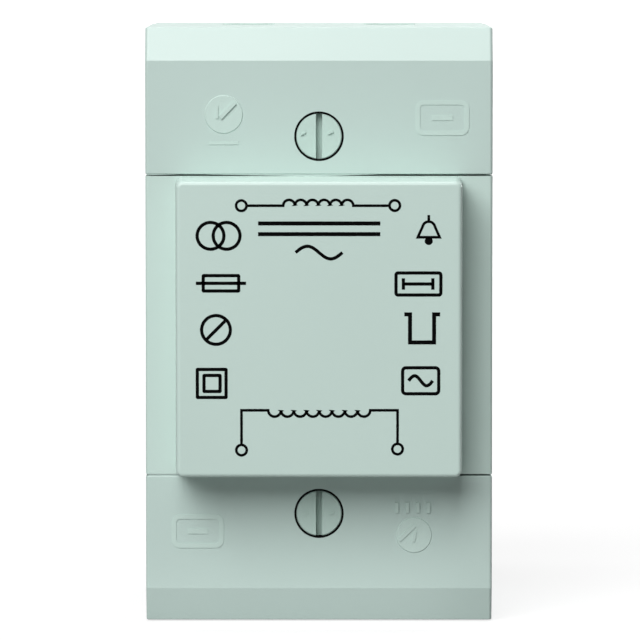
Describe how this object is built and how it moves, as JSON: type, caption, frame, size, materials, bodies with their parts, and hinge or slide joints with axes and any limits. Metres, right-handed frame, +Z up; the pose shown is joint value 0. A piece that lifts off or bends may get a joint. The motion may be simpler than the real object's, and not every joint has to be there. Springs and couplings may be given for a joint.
{
  "type": "doorbell transformer",
  "caption": "Modular bell transformer in a moulded case with a raised front, screwed terminal covers at both ends and a sprung clip for a mounting rail.",
  "frame": {"origin": "on the back plane, midway between the sides, at the height of the rail's centre line", "axes": "+X to the right seen from the front, +Y back towards the wall, +Z up; the nose faces -Y"},
  "size_m": [0.0524, 0.06, 0.0904],
  "materials": {
    "housing_plastic": "fine satin moulded plastic, light grey green",
    "base_plastic": "fine satin moulded plastic, light grey green",
    "cover_screw_plastic": "satin moulded plastic",
    "clip_plastic": "matt moulded plastic",
    "spring_steel": "bright drawn wire",
    "core_steel": "oxidised sheet edges under varnish",
    "former_plastic": "glass-filled nylon",
    "winding_wire": "enamelled copper wire",
    "winding_tape": "polyester tape",
    "cutout_metal": "plated can",
    "zinc_steel": "zinc plated",
    "terminal_brass": "machined",
    "mains_lead_plastic": "extruded insulation",
    "bell_lead_plastic": "extruded insulation"
  },
  "bodies": {
    "housing": {"rear_base": "base_plastic", "clip_spring": "spring_steel", "core_e_stack": "core_steel", "core_i_stack": "core_steel", "coil_former": "former_plastic", "primary_winding": "winding_wire", "primary_tape": "winding_tape", "secondary_winding": "winding_wire", "secondary_tape": "winding_tape", "thermal_cutout": "cutout_metal", "main_housing": "housing_plastic", "housing_screws": "zinc_steel", "upper_terminal_cover": "housing_plastic", "lower_terminal_cover": "housing_plastic", "upper_cover_screw": "cover_screw_plastic", "lower_cover_screw": "cover_screw_plastic", "mains_terminal_left": "terminal_brass", "mains_clamp_screw_left": "zinc_steel", "mains_lead_left": "mains_lead_plastic", "mains_terminal_right": "terminal_brass", "mains_clamp_screw_right": "zinc_steel", "mains_lead_right": "mains_lead_plastic", "bell_terminal_left": "terminal_brass", "bell_clamp_screw_left": "zinc_steel", "bell_lead_left": "bell_lead_plastic", "bell_terminal_right": "terminal_brass", "bell_clamp_screw_right": "zinc_steel", "bell_lead_right": "bell_lead_plastic"},
    "clip": {"rail_clip": "clip_plastic"}
  },
  "joints": [
    {"name": "rail_clip_slide", "type": "slide", "parent": "housing", "child": "clip", "axis": [0, 0, -1], "range_m": [0, 0.003], "stiffness_N_per_m": 600, "springref_m": -0.005, "deforming": ["clip_spring"]}
  ]
}
